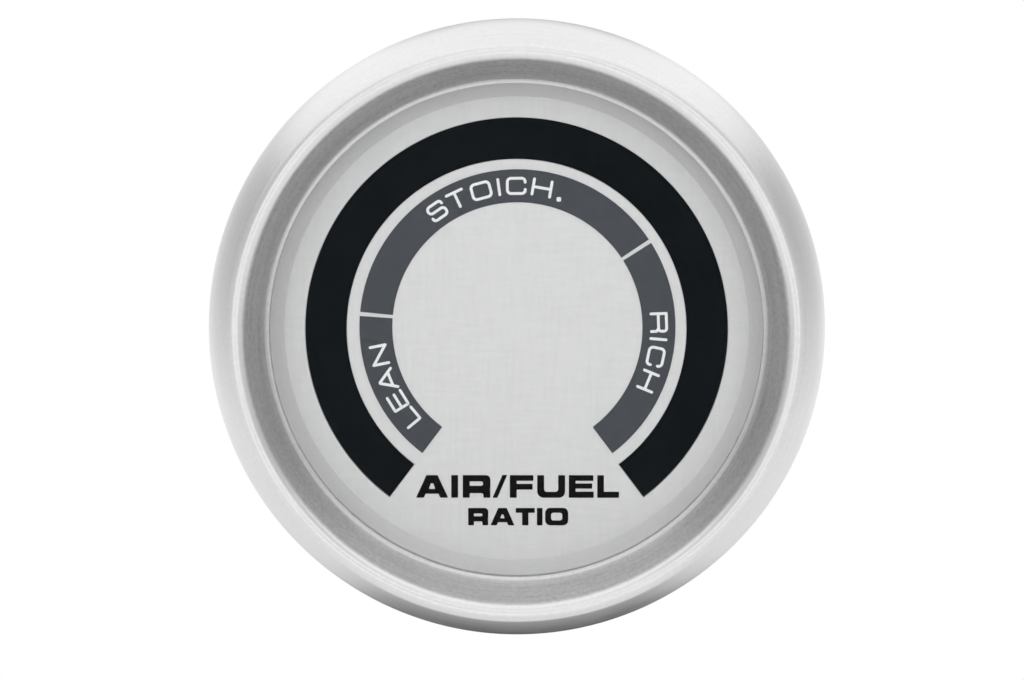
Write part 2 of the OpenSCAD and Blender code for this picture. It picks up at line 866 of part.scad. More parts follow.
// Outline of a stud: a head inside the case, and rings for its thread
function stud_points() = concat(
    [[0, case_floor + stud_head_h], [stud_head_d / 2, case_floor + stud_head_h],
     [stud_head_d / 2, case_floor], [stud_d / 2, case_floor], [stud_d / 2, case_back]],
    [for (i = [0:floor((stud_out - stud_tip) / thread_pitch) - 1])
        for (side = [0, 1])
            [stud_d / 2 - thread_deep * (1 - side),
             case_back - thread_pitch * (i + 0.5 + side / 2)]],
    [[stud_d / 2 - thread_deep, stud_end + stud_tip], [stud_d / 2 - stud_tip, stud_end],
     [0, stud_end]]
);

module mounting_studs() {
    color([0.78, 0.78, 0.76]) facing()
        at_studs() rotate_extrude() polygon(stud_points());
}

module stud_washers() {
    color([0.78, 0.78, 0.76]) facing()
        at_studs() ring(stud_washer_d / 2, washer_bore_r, washer_back, case_back);
}

// Stud nuts: hexagons with their corners turned down
module stud_nuts() {
    corner_r = nut_flats / 2 / cos(30);
    face_r = corner_r * nut_round_share;
    color([0.78, 0.78, 0.76]) facing()
        at_studs()
            difference() {
                intersection() {
                    translate([0, 0, nut_back])
                        cylinder(r = corner_r, h = nut_t, $fn = 6);
                    rotate_extrude()
                        polygon([
                            [0, nut_back], [face_r, nut_back],
                            [corner_r, nut_back + nut_chamfer_h],
                            [corner_r, washer_back - nut_chamfer_h],
                            [face_r, washer_back], [0, washer_back]
                        ]);
                }
                translate([0, 0, nut_back - cut])
                    cylinder(r = nut_bore_r, h = nut_t + 2 * cut);
            }
}

// Connector: an open shroud behind the case, its flange held inside the case
module connector_shell() {
    color([0.15, 0.15, 0.15]) facing()
        difference() {
            translate([0, plug_up, 0])
                difference() {
                    union() {
                        block(plug_w, plug_h, plug_end, case_floor);
                        block(plug_w + 2 * plug_flange, plug_h + 2 * plug_flange,
                            case_floor, plug_floor_front);
                        translate([0, plug_h / 2, 0])
                            block(latch_w, 2 * latch_h, plug_end + latch_inset,
                                plug_end + latch_inset + latch_l);
                    }
                    block(plug_w - 2 * plug_wall, plug_h - 2 * plug_wall,
                        plug_end - cut, case_back);
                }
            at_plug_pins()
                block(plug_hole_t, plug_hole_t, case_back - cut, plug_floor_front + cut);
        }
}

module connector_pins() {
    color([0.8, 0.7, 0.35]) facing()
        at_plug_pins()
            block(plug_pin_t, plug_pin_t, plug_pin_end, driver_front + plug_pin_lead);
}

// Section of the strap: straight legs, round bends and a flat web
function strap_points() = concat(
    [[leg_in_r, foot_z], [leg_out_r, foot_z]],
    arc([leg_out_r - strap_bend - strap_t, web_back + strap_bend + strap_t],
        strap_bend + strap_t, 0, -90, 8),
    [[0, web_back], [0, web_front]],
    arc([leg_in_r - strap_bend, web_front + strap_bend], strap_bend, -90, 0, 8)
);

// Strap: the part of a round cup that lies within the strap's width
module bracket() {
    reach = leg_out_r + cut;
    color([0.75, 0.75, 0.74]) facing()
        difference() {
            intersection() {
                rotate_extrude() polygon(strap_points());
                translate([-reach, 0, 0])
                    rotate([90, 0, 90])
                        linear_extrude(2 * reach) strap_outline();
            }
            at_studs()
                translate([0, 0, web_back - cut])
                    cylinder(r = washer_bore_r, h = strap_t + 2 * cut);
        }
}

// The strap seen from its side, with round corners at its feet
module strap_outline() {
    inner_w = strap_w - 2 * strap_corner;
    low = web_back - cut;
    translate([-strap_w / 2, low]) square([strap_w, foot_z - strap_corner - low]);
    translate([-inner_w / 2, low]) square([inner_w, foot_z - low]);
    for (side = [-1, 1])
        translate([side * inner_w / 2, foot_z - strap_corner]) circle(r = strap_corner);
}

module clamp_washers() {
    color([0.78, 0.78, 0.76]) facing()
        at_studs()
            ring(clamp_washer_d / 2, washer_bore_r, clamp_washer_back, web_back);
}

// Ridges and grooves round a knurled nut
function knurl_points() = [
    for (i = [0:2 * knurls - 1])
        let (a = 180 * i / knurls, r = thumb_d / 2 - knurl_deep * (i % 2))
            r * [cos(a), sin(a)]
];

// Knurled nut: a plain collar against the strap and a knurled head behind it
module thumb_nut() {
    head_front = thumb_front - collar_l;
    edge_r = thumb_d / 2 - thumb_chamfer;
    color([0.8, 0.7, 0.4]) facing()
        difference() {
            union() {
                intersection() {
                    translate([0, 0, thumb_back])
                        linear_extrude(thumb_l) polygon(knurl_points());
                    rotate_extrude()
                        polygon([
                            [0, thumb_back], [edge_r, thumb_back],
                            [thumb_d / 2, thumb_back + thumb_chamfer],
                            [thumb_d / 2, head_front - thumb_chamfer],
                            [edge_r, head_front], [0, head_front]
                        ]);
                }
                translate([0, 0, head_front]) cylinder(d = collar_d, h = collar_l - thumb_bevel);
                translate([0, 0, thumb_front - thumb_bevel])
                    cylinder(d1 = collar_d, d2 = collar_d - 2 * thumb_bevel, h = thumb_bevel);
            }
            translate([0, 0, thumb_back - cut])
                cylinder(r = nut_bore_r, h = thumb_l + collar_l + 2 * cut);
        }
}

module thumb_nut_left() {
    translate([-stud_x, 0, 0]) thumb_nut();
}

module thumb_nut_right() {
    translate([stud_x, 0, 0]) thumb_nut();
}

bezel();
lens_gasket();
lens();
spacer_ring();
dial();
scale_band();
display_window();
led_baffle();
lean_leds();
stoich_leds();
rich_leds();
display_board();
board_header();
header_pins();
board_spacers();
driver_board();
driver_chips();
voltage_regulator();
filter_capacitor();
protection_diode();
resistors();
board_screws();
case();
case_gasket();
mounting_studs();
stud_washers();
stud_nuts();
connector_shell();
connector_pins();
bracket();
clamp_washers();
thumb_nut_left();
thumb_nut_right();
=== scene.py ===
import math

import bmesh
import bpy
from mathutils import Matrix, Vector


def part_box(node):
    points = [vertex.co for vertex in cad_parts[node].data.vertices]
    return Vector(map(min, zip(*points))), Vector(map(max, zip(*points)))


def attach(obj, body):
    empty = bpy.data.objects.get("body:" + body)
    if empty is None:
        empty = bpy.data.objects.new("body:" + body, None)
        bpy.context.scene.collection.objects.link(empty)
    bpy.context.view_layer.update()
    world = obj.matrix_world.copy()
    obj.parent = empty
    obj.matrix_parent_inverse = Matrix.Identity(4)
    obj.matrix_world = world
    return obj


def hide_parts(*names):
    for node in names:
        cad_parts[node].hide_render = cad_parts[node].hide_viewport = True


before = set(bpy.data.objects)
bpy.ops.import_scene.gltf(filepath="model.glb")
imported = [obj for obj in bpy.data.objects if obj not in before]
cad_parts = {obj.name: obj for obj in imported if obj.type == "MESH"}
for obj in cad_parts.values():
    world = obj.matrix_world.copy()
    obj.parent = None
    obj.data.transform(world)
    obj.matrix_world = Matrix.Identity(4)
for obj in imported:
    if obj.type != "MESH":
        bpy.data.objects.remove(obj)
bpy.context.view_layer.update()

scene = bpy.context.scene
scene.view_settings.view_transform = "Standard"


# Frame of the gauge

# Pieces are drawn in millimetres in the gauge's own frame: x to the right of
# the dial, y to twelve o'clock, z out of the dial.

def place(x, y, z):
    return Vector((x, -z, y)) / 1000


def radius(node):
    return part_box(node)[1].x * 1000


def front(node):
    return -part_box(node)[0].y * 1000


def back(node):
    return -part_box(node)[1].y * 1000


BEZEL_R = radius("bezel")
DIAL_R = radius("dial")
LENS_R = radius("lens")
LENS_BACK = back("lens")
LENS_FRONT = front("lens")
DIAL_FRONT = front("dial")
DIAL_BACK = back("dial")
BAND_FRONT = front("scale_band")
CASE_BACK = back("case")
STUD_END = back("mounting_studs")

# Bezel, from the hem at its back over the crown and down the funnel to the lip
WALL = 0.8
HEM_R = 26.1            # inner edge of the hem
HEM_ROUND = 0.3
FOLD_ROUND = 0.12
SIDE_ROUND = 23         # the bulge of its side
CROWN_ROUND = 1.0
RIDGE_Z = front("bezel")
VIEW_R = 22.45          # the lip's opening
LIP_Z = 7.2
LIP_ROUND = 0.1
LAND_Z = 7.0            # the lip's underside, on the gasket
LAND_ROUND = 0.05
FOOT_ROUND = 0.75       # hollow where the funnel runs out to the lip
FOOT_SLOPE = 15
FOOT_SHORT = 4          # degrees of that hollow left for the lip's rounding
RING_STEP = 0.8         # longest straight run without a ring of its own

# Lens and spacer
LENS_ROUND = 0.12
CONE_ROUND = 0.05

# Dial
DIAL_VIEW_R = 21.21     # the dial inside the spacer
SLOT_IN_R = 15.56
SLOT_OUT_R = 19.35
SLOT_DROP = 0.03        # the slot's centre lies this far below the dial's
SLOT_FROM = -53
SLOT_TO = 233
DIAL_EDGE = 0.06        # broken edge of the dial plate and its slot
PHOTO_SCALE = 10.907    # photograph's pixels per millimetre at the dial
PHOTO_AXIS = (516.7, 328.6)
PHOTO_WIDTH = 1024
BAND_PLACE = Vector((0.11, 0.15))       # centre of the printed band

# Camera: it stands a little above the gauge's axis and to its right
ELEVATION = 3.1
AZIMUTH = 0.5
TARGET = Vector((0, -0.0019, 0))
EYE = 0.3925            # distance from the target, in metres
FOCAL = 150
SENSOR = 36
CLIP = (0.01, 10)
SHIFT = (-4.7 / PHOTO_WIDTH, -12.45 / PHOTO_WIDTH)
SIGHT = -Vector((math.cos(math.radians(ELEVATION)) * math.sin(math.radians(AZIMUTH)),
                 -math.cos(math.radians(ELEVATION)) * math.cos(math.radians(AZIMUTH)),
                 math.sin(math.radians(ELEVATION))))

# Studs
STUD_X = 12
STUD_R = 2.08
PITCH = 0.794
THREAD_DEEP = 0.42
THREAD = ((0.0, 0.0), (0.12, 0.0), (0.44, THREAD_DEEP), (0.62, THREAD_DEEP))    # share of a turn, depth
STUD_STEPS = 48
STUD_CHAMFER = 0.5
STUD_DIP = 0.2          # the thread starts this far behind the case
HEAD_R = 3.0
HEAD_Z = (2, 3.2)       # the stud's head, inside the case's back

WELD = 0.002            # points nearer than this are one point
SLIVER = 0.001


# Outlines

def arc(cx, cy, r, start, end, steps):
    return [(cx + r * math.cos(math.radians(start + (end - start) * i / steps)),
             cy + r * math.sin(math.radians(start + (end - start) * i / steps)))
            for i in range(steps + 1)]


def soft(points, steps=5, closed=True, guard=0.0):
    """An outline with each corner (x, y, radius) turned into an arc.

    guard puts one more point beside each end of an arc, that many radii off,
    so that the shading of a long flat face stays flat."""
    out = []
    last = len(points) - 1
    for i, point in enumerate(points):
        if len(point) < 3 or point[2] == 0 or (not closed and i in (0, last)):
            out.append(tuple(point[:2]))
            continue
        corner = Vector(point[:2])
        one = (Vector(points[i - 1][:2]) - corner).normalized()
        two = (Vector(points[(i + 1) % len(points)][:2]) - corner).normalized()
        half = one.angle(two) / 2
        centre = corner + (one + two).normalized() * point[2] / math.sin(half)
        start = corner + one * point[2] / math.tan(half) - centre
        end = corner + two * point[2] / math.tan(half) - centre
        turn = math.atan2(start.x * end.y - start.y * end.x, start.dot(end))
        if guard:
            out.append(tuple(centre + start + one * guard * point[2]))
        for k in range(steps + 1):
            a = turn * k / steps
            out.append((centre.x + start.x * math.cos(a) - start.y * math.sin(a),
                        centre.y + start.x * math.sin(a) + start.y * math.cos(a)))
        if guard:
            out.append(tuple(centre + end + two * guard * point[2]))
    return out


def widened(points, by):
    """An outline of corners (x, y, radius) with every side moved out by a distance, or in."""
    corners = [Vector(point[:2]) for point in points]
    count = len(corners)
    area = sum(corners[i - 1].cross(corners[i]) for i in range(count))
    out = []
    for i, corner in enumerate(corners):
        one = (corner - corners[i - 1]).normalized()
        two = (corners[(i + 1) % count] - corner).normalized()
        side = Vector((one.y + two.y, -one.x - two.x)) / (1 + one.dot(two))
        shifted = corner + side * (by if area > 0 else -by)
        out.append((*shifted, points[i][2]))
    return out


def stroke(points, width, closed=False, cap=5):
    """Pairs of points on both edges of a stroke of even width, with round ends."""
    path = [Vector(p) for p in points]
    half = width / 2
    pairs = []
    count = len(path)
    for i, p in enumerate(path):
        before = path[i - 1] if closed or i > 0 else None
        after = path[(i + 1) % count] if closed or i < count - 1 else None
        ways = [(p - before).normalized()] if before is not None else []
        ways += [(after - p).normalized()] if after is not None else []
        way = sum(ways, Vector((0, 0))).normalized()
        side = Vector((-way.y, way.x))
        reach = half / max(0.35, side.dot(Vector((-ways[0].y, ways[0].x))))
        pairs.append((p + side * reach, p - side * reach))
    if closed:
        return pairs
    out = []
    for end, way, sign in ((path[0], (path[0] - path[1]).normalized(), -1),
                           (path[-1], (path[-1] - path[-2]).normalized(), 1)):
        side = Vector((-way.y, way.x)) * sign
        tip = []
        for k in range(1, cap + 1):
            a = math.pi / 2 * k / (cap + 0.35)
            middle = end + way * half * math.sin(a)
            tip.append((middle + side * half * math.cos(a), middle - side * half * math.cos(a)))
        out.append(tip)
    return out[0][::-1] + pairs + out[1]


# Meshes

def finished(obj, finish, body="gauge", nodes=()):
    obj.data.materials.clear()
    obj.data.materials.append(finish)
    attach(obj, body)
    if nodes:
        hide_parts(*nodes)
    return obj


def from_bmesh(name, bm, sharp=32, merge=WELD):
    bmesh.ops.remove_doubles(bm, verts=bm.verts, dist=merge / 1000)
    bmesh.ops.recalc_face_normals(bm, faces=bm.faces)
    mesh = bpy.data.meshes.new(name)
    bm.to_mesh(mesh)
    bm.free()
    mesh.shade_smooth()
    mesh.set_sharp_from_angle(angle=math.radians(sharp))
    obj = bpy.data.objects.new(name, mesh)
    scene.collection.objects.link(obj)
    return obj


def lathe(name, outline, steps, sharp=32):
    """A closed outline of (r, z) turned about the gauge's axis."""
    bm = bmesh.new()
    rings = []
    for i in range(steps):
        a = 2 * math.pi * i / steps
        rings.append([bm.verts.new(place(r * math.cos(a), r * math.sin(a), z)) for r, z in outline])
    for i in range(steps):
        here, there = rings[i], rings[(i + 1) % steps]
        for j in range(len(outline)):
            k = (j + 1) % len(outline)
            if outline[j][0] == 0 and outline[k][0] == 0:
                continue
            bm.faces.new((here[j], there[j], there[k], here[k]))
    return from_bmesh(name, bm, sharp)


def add_plate(bm, loops, low, high, chamfer=0, grown=None):
    """A flat plate with holes. grown holds the loops of the front face where its edge is broken."""
    tops = []
    for i, loop in enumerate(loops):
        face_loop = grown[i] if grown else loop
        top = [bm.verts.new(place(x, y, high)) for x, y in face_loop]
        rows = [top]
        if grown:
            rows.append([bm.verts.new(place(x, y, high - chamfer)) for x, y in loop])
        rows.append([bm.verts.new(place(x, y, low)) for x, y in loop])
        for one, two in zip(rows, rows[1:]):
            for j in range(len(loop)):
                k = (j + 1) % len(loop)
                bm.faces.new((one[j], one[k], two[k], two[j]))
        tops.append((rows[0], rows[-1]))
    for side in (0, 1):
        edges = []
        for rows in tops:
            row = rows[side]
            for j in range(len(row)):
                edges.append(bm.edges.get((row[j], row[(j + 1) % len(row)])))
        bmesh.ops.triangle_fill(bm, use_beauty=True, use_dissolve=False, edges=edges)


def add_strip(bm, pairs, low, high, closed=False):
    """A raised strip between two rows of points."""
    rows = [[bm.verts.new(place(*p, z)) for p in pair for z in (high, low)] for pair in pairs]
    for i in range(len(rows) if closed else len(rows) - 1):
        (a, b, c, d), (e, f, g, h) = rows[i], rows[(i + 1) % len(rows)]
        for corners in ((a, e, g, c), (b, d, h, f), (a, b, f, e), (c, g, h, d)):
            bm.faces.new(corners)
    if not closed:
        for a, b, c, d in (rows[0], rows[-1]):
            bm.faces.new((a, c, d, b))


def plate(name, loops, low, high, chamfer=0, grown=None):
    bm = bmesh.new()
    add_plate(bm, loops, low, high, chamfer, grown)
    return from_bmesh(name, bm, 20, 0.0005)


def softened(name, node, width, segments=3, corner=30):
    """A copy of a solid with its corners rounded."""
    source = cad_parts[node].data
    bm = bmesh.new()
    bm.from_mesh(source)
    bmesh.ops.remove_doubles(bm, verts=bm.verts, dist=WELD / 1000)
    bmesh.ops.dissolve_limit(bm, angle_limit=math.radians(0.6), verts=bm.verts, edges=bm.edges)
    mesh = bpy.data.meshes.new(name + "_rough")
    bm.to_mesh(mesh)
    bm.free()
    plain = bpy.data.meshes.new(name + "_plain")
    plain.from_pydata([v.co.copy() for v in mesh.vertices], [], [list(p.vertices) for p in mesh.polygons])
    plain.shade_smooth()
    rough = bpy.data.objects.new(name + "_rough", plain)
    scene.collection.objects.link(rough)
    bevel = rough.modifiers.new("edge", "BEVEL")
    bevel.width = width / 1000
    bevel.segments = segments
    bevel.limit_method = "ANGLE"
    bevel.angle_limit = math.radians(corner)
    bevel.miter_outer = "MITER_ARC"
    even = rough.modifiers.new("even", "WEIGHTED_NORMAL")
    even.weight = 80
    shape = bpy.data.meshes.new_from_object(rough.evaluated_get(bpy.context.evaluated_depsgraph_get()))
    bpy.data.objects.remove(rough)
    obj = bpy.data.objects.new(name, shape)
    scene.collection.objects.link(obj)
    return obj


# Finishes

class Nodes:
    """A node tree and short ways to fill it."""

    def __init__(self, tree):
        self.nodes = tree.nodes
        self.links = tree.links

    def feed(self, socket, value):
        """Links a socket to another one, or gives it a value."""
        if isinstance(value, bpy.types.NodeSocket):
            self.links.new(value, socket)
        else:
            socket.default_value = value

    def node(self, kind, **inputs):
        made = self.nodes.new(kind)
        for key, value in inputs.items():
            self.feed(made.inputs[key], value)
        return made

    def math(self, operation, one, two=0.0, three=0.0):
        made = self.nodes.new("ShaderNodeMath")
        made.operation = operation
        for socket, value in zip(made.inputs, (one, two, three)):
            self.feed(socket, value)
        return made.outputs[0]

    def times(self, *values):
        """The product of several values."""
        product = values[0]
        for value in values[1:]:
            product = self.math("MULTIPLY", product, value)
        return product

    def less(self, value):
        """One minus a value."""
        return self.math("SUBTRACT", 1.0, value)

    def length(self, vector):
        made = self.nodes.new("ShaderNodeVectorMath")
        made.operation = "LENGTH"
        self.links.new(vector, made.inputs[0])
        return made.outputs["Value"]

    def spot(self, scale=(1, 1, 1)):
        """The point on the piece, with each axis stretched."""
        made = self.nodes.new("ShaderNodeMapping")
        self.links.new(self.node("ShaderNodeTexCoord").outputs["Object"], made.inputs["Vector"])
        made.inputs["Scale"].default_value = scale
        return made.outputs[0]

    def turned(self, centre, around):
        """Distance from an axis and depth along it, for marks that run round the axis."""
        split = self.node("ShaderNodeSeparateXYZ", Vector=self.node("ShaderNodeTexCoord").outputs["Object"])
        side = self.math("SUBTRACT", self.math("ABSOLUTE", split.outputs[0]), centre) if centre \
            else split.outputs[0]
        flat = self.node("ShaderNodeCombineXYZ", X=side, Z=split.outputs[2])
        turn = self.math("ARCTAN2", split.outputs[2], side)
        return self.node("ShaderNodeCombineXYZ", X=self.length(flat.outputs[0]), Y=split.outputs[1],
                         Z=self.times(turn, around)).outputs[0]

    def noise(self, scale, detail=3.0, roughness=0.55, spot=None, distortion=0.0):
        made = self.nodes.new("ShaderNodeTexNoise")
        self.links.new(spot or self.spot(), made.inputs["Vector"])
        made.inputs["Scale"].default_value = scale
        made.inputs["Detail"].default_value = detail
        made.inputs["Roughness"].default_value = roughness
        made.inputs["Distortion"].default_value = distortion
        return made.outputs["Fac"]

    def cells(self, scale):
        made = self.nodes.new("ShaderNodeTexVoronoi")
        self.links.new(self.spot(), made.inputs["Vector"])
        made.inputs["Scale"].default_value = scale
        tone = self.nodes.new("ShaderNodeRGBToBW")
        self.links.new(made.outputs["Color"], tone.inputs["Color"])
        return tone.outputs["Val"]

    def between(self, value, low, high, start=0.3, end=0.7):
        made = self.nodes.new("ShaderNodeMapRange")
        self.links.new(value, made.inputs["Value"])
        made.inputs["From Min"].default_value = start
        made.inputs["From Max"].default_value = end
        made.inputs["To Min"].default_value = low
        made.inputs["To Max"].default_value = high
        return made.outputs["Result"]

    def colours(self, value, *stops):
        made = self.nodes.new("ShaderNodeValToRGB")
        self.links.new(value, made.inputs["Fac"])
        band = made.color_ramp
        while len(band.elements) < len(stops):
            band.elements.new(0.5)
        for element, (place_at, colour) in zip(band.elements, stops):
            element.position = place_at
            element.color = (*colour, 1)
        return made.outputs["Color"]

    def blend(self, factor, one, two, mode="MIX"):
        made = self.nodes.new("ShaderNodeMix")
        made.data_type = "RGBA"
        made.blend_type = mode
        for socket, value in ((made.inputs["Factor"], factor), (made.inputs[6], one), (made.inputs[7], two)):
            self.feed(socket, value)
        return made.outputs[2]


class Finish(Nodes):
    """A procedural material: its shader and the nodes that vary it."""

    def __init__(self, name, **values):
        self.material = bpy.data.materials.new(name)
        self.material.use_nodes = True
        super().__init__(self.material.node_tree)
        self.shader = self.nodes["Principled BSDF"]
        for key, value in values.items():
            self.shader.inputs[key.replace("_", " ").title().replace("Ior", "IOR")].default_value = value

    def colour(self, value):
        self.links.new(value, self.shader.inputs["Base Color"])

    def rough(self, value):
        self.links.new(value, self.shader.inputs["Roughness"])

    def bumps(self, *parts):
        """Relief from several patterns, each with its strength and its depth in millimetres."""
        normal = None
        for value, strength, deep in parts:
            made = self.nodes.new("ShaderNodeBump")
            made.inputs["Strength"].default_value = strength
            made.inputs["Distance"].default_value = deep / 1000
            self.links.new(value, made.inputs["Height"])
            if normal is not None:
                self.links.new(normal, made.inputs["Normal"])
            normal = made.outputs["Normal"]
        self.links.new(normal, self.shader.inputs["Normal"])

    def clear_where(self, factor):
        """The surface, let through by a factor from 0 to 1."""
        clear = self.nodes.new("ShaderNodeBsdfTransparent")
        mix = self.nodes.new("ShaderNodeMixShader")
        for socket, value in zip(mix.inputs, (factor, self.shader.outputs[0], clear.outputs[0])):
            self.links.new(value, socket)
        self.links.new(mix.outputs[0], self.nodes["Material Output"].inputs["Surface"])


def grey(level, tint=0.0):
    return (level * (1 - tint), level, level * (1 + tint))


# How satin the bezel is at each distance from its axis, within a span of distances: the same share darkens
# its colour with painted shade and makes it rougher
SATIN_AND_SHADE = ((22.45, 0.45), (22.75, 0.55), (23.3, 1.0), (24.42, 1.0), (24.75, 0.0))
SATIN_AND_SHADE_SPAN = (22, 26)


def spun_metal():
    f = Finish("spun_aluminium", metallic=1.0)
    turned = f.turned(0.0, 0.0004)
    lines = f.noise(5200, 5, 0.7, turned)
    haze = f.noise(170, 4, 0.6)
    out = f.node("ShaderNodeSeparateXYZ", Vector=turned).outputs[0]
    # The funnel is darkened with painted shade between the crown and the flared foot, and a little less at
    # the foot; it is also made rougher there
    low, high = SATIN_AND_SHADE_SPAN
    satin_and_shade = f.colours(f.between(out, 0, 1, low / 1000, high / 1000),
                      *[((r - low) / (high - low), grey(level)) for r, level in SATIN_AND_SHADE])
    streaks = f.times(f.math("ADD", lines, f.noise(2600, 5, 0.75)), 0.5)
    bare = f.colours(streaks, (0.36, grey(0.77)), (0.64, grey(0.88)))
    # The darker colours here are painted shade, standing in for the funnel's darker reflection
    dull_and_shaded = f.colours(streaks, (0.36, grey(0.45)), (0.64, grey(0.67)))
    f.colour(f.blend(satin_and_shade, bare, dull_and_shaded))
    f.rough(f.math("ADD", f.math("MULTIPLY_ADD", satin_and_shade, 0.14, f.between(lines, 0.29, 0.37)),
                   f.between(haze, -0.02, 0.03)))
    f.bumps((lines, 0.35, 0.003), (f.noise(2600, 4, 0.65), 0.2, 0.003))
    return f.material


def silver_dial():
    f = Finish("dial_silver_face", metallic=0.4)
    upright = f.noise(3200, 4, 0.7, f.spot((1, 1, 0.12)))
    level = f.noise(3200, 4, 0.7, f.spot((0.12, 1, 1)))
    grain = f.times(f.math("ADD", upright, level), 0.5)
    f.colour(f.colours(grain, (0.35, grey(0.71)), (0.65, grey(0.79))))
    f.rough(f.between(grain, 0.46, 0.58))
    f.bumps((grain, 0.25, 0.002))
    return f.material


def painted_silver():
    f = Finish("spacer_silver", metallic=0.3)
    fleck = f.noise(5200, 3, 0.7)
    f.colour(f.colours(fleck, (0.3, grey(0.62)), (0.7, grey(0.72))))
    f.rough(f.between(f.noise(700, 3), 0.42, 0.55))
    f.bumps((fleck, 0.25, 0.003))
    return f.material


def printed(name, low, high, rough, gloss=0.3):
    f = Finish(name, specular_ior_level=gloss)
    f.colour(f.colours(f.noise(1400, 4, 0.65), (0.3, low), (0.7, high)))
    f.rough(f.between(f.noise(2600, 3), rough - 0.06, rough + 0.06))
    f.bumps((f.noise(4200, 3), 0.15, 0.002))
    return f.material


def smoked_acrylic():
    f = Finish("window_smoked")
    dark, light = (0.0022, 0.0044, 0.0058), (0.0034, 0.0060, 0.0076)
    f.colour(f.colours(f.noise(220, 3), (0.35, dark), (0.65, light)))
    f.rough(f.between(f.noise(900, 3), 0.06, 0.10))
    f.bumps((f.noise(300, 2), 0.05, 0.002))
    return f.material


def clear_lens():
    f = Finish("lens_acrylic", roughness=0.02, ior=1.49)
    f.shader.inputs["Transmission Weight"].default_value = 1.0
    f.shader.inputs["Base Color"].default_value = (0.985, 0.99, 0.99, 1)
    rays = f.nodes.new("ShaderNodeLightPath")
    f.clear_where(f.math("MAXIMUM", rays.outputs["Is Shadow Ray"], rays.outputs["Is Diffuse Ray"]))
    return f.material


def moulded(name, low, high, rough, texture=1800.0, deep=0.01, strength=0.4):
    f = Finish(name)
    skin = f.noise(texture, 4, 0.6)
    f.colour(f.colours(f.noise(260, 4), (0.3, low), (0.7, high)))
    f.rough(f.math("ADD", f.between(skin, rough - 0.05, rough + 0.07),
                   f.between(f.noise(90, 3), -0.03, 0.04)))
    f.bumps((skin, strength, deep))
    return f.material


def plated(name, low, high, rough, centre=None, spangle=0.5, scratch=0.25):
    """Plated or bare metal: cloudy colour, fine scratches, and turning marks where it was turned."""
    f = Finish(name, metallic=1.0)
    cloud = f.noise(330, 5, 0.65, distortion=0.4)
    crystals = f.cells(1300)
    base = f.colours(cloud, (0.3, low), (0.7, high))
    spangles = f.colours(crystals, (0.2, grey(0.25)), (0.8, grey(0.75)))
    f.colour(f.blend(0.22 * spangle, base, spangles, "OVERLAY"))
    marks = f.noise(3600, 4, 0.7, f.spot((1, 0.12, 0.4)))
    f.rough(f.math("ADD", f.between(marks, rough - 0.07, rough + 0.07), f.between(cloud, -0.04, 0.05)))
    relief = [(marks, scratch, 0.003)]
    if centre is not None:
        relief.append((f.noise(5200, 3, 0.6, f.turned(centre, 0.0003)), 0.4, 0.004))
    f.bumps(*relief)
    return f.material


def circuit_board():
    f = Finish("board_laminate", specular_ior_level=0.5, coat_weight=0.3, coat_roughness=0.2)
    weave = f.times(f.noise(2400, 2, 0.5, f.spot((1, 1, 0.1))), f.noise(2400, 2, 0.5, f.spot((0.1, 1, 1))))
    f.colour(f.colours(weave, (0.12, (0.012, 0.085, 0.030)), (0.4, (0.022, 0.130, 0.050))))
    f.rough(f.between(f.noise(600, 3), 0.28, 0.4))
    f.bumps((weave, 0.3, 0.01))
    return f.material


bezel_metal = spun_metal()
dial_silver = silver_dial()
spacer_paint = painted_silver()
band_ink = printed("band_grey_ink", (0.050, 0.057, 0.068), (0.058, 0.066, 0.078), 0.55)
white_ink = printed("white_ink", (0.74, 0.74, 0.75), (0.82, 0.82, 0.83), 0.5)
black_ink = printed("black_ink", (0.002, 0.002, 0.002), (0.004, 0.004, 0.004), 0.6, 0.08)
window_smoke = smoked_acrylic()
lens_clear = clear_lens()
lens_silicone = moulded("gasket_silicone_grey", grey(0.26), grey(0.34), 0.6, 2600, 0.01)
gasket_rubber = moulded("gasket_rubber_black", grey(0.014), grey(0.024), 0.7, 2600, 0.012)
baffle_plastic = moulded("baffle_black", grey(0.018), grey(0.026), 0.5)
case_plastic = moulded("case_black_nylon", grey(0.020, 0.02), grey(0.030, 0.02), 0.42, 2300, 0.012, 0.5)
connector_nylon = moulded("connector_black_nylon", grey(0.026), grey(0.036), 0.36, 1500, 0.006, 0.3)
chip_plastic = moulded("chip_epoxy", grey(0.02), grey(0.03), 0.5, 3200, 0.008)
capacitor_sleeve = moulded("capacitor_sleeve", (0.012, 0.016, 0.045), (0.018, 0.024, 0.06), 0.3, 900, 0.003)
resistor_coat = moulded("resistor_coat", (0.42, 0.33, 0.19), (0.52, 0.42, 0.25), 0.4, 1500, 0.004)
lamp_red = moulded("lamp_epoxy_red", (0.42, 0.02, 0.015), (0.5, 0.035, 0.02), 0.2, 900, 0.003)
lamp_yellow = moulded("lamp_epoxy_yellow", (0.62, 0.36, 0.02), (0.7, 0.42, 0.035), 0.2, 900, 0.003)
lamp_green = moulded("lamp_epoxy_green", (0.03, 0.3, 0.04), (0.045, 0.38, 0.05), 0.2, 900, 0.003)
board_green = circuit_board()
zinc_steel = plated("zinc_plated_steel", (0.56, 0.57, 0.58), (0.68, 0.69, 0.70), 0.27, STUD_X / 1000)
spacer_metal = plated("spacer_nickel", (0.58, 0.57, 0.54), (0.68, 0.67, 0.64), 0.25)
pin_brass = plated("pin_brass", (0.72, 0.54, 0.24), (0.82, 0.64, 0.32), 0.24, None, 0.2)
bracket_zinc = plated("strap_zinc", (0.52, 0.53, 0.54), (0.70, 0.71, 0.71), 0.33, None, 1.0, 0.4)
nut_brass = plated("nut_brass", (0.66, 0.47, 0.20), (0.80, 0.60, 0.29), 0.26, STUD_X / 1000, 0.3)

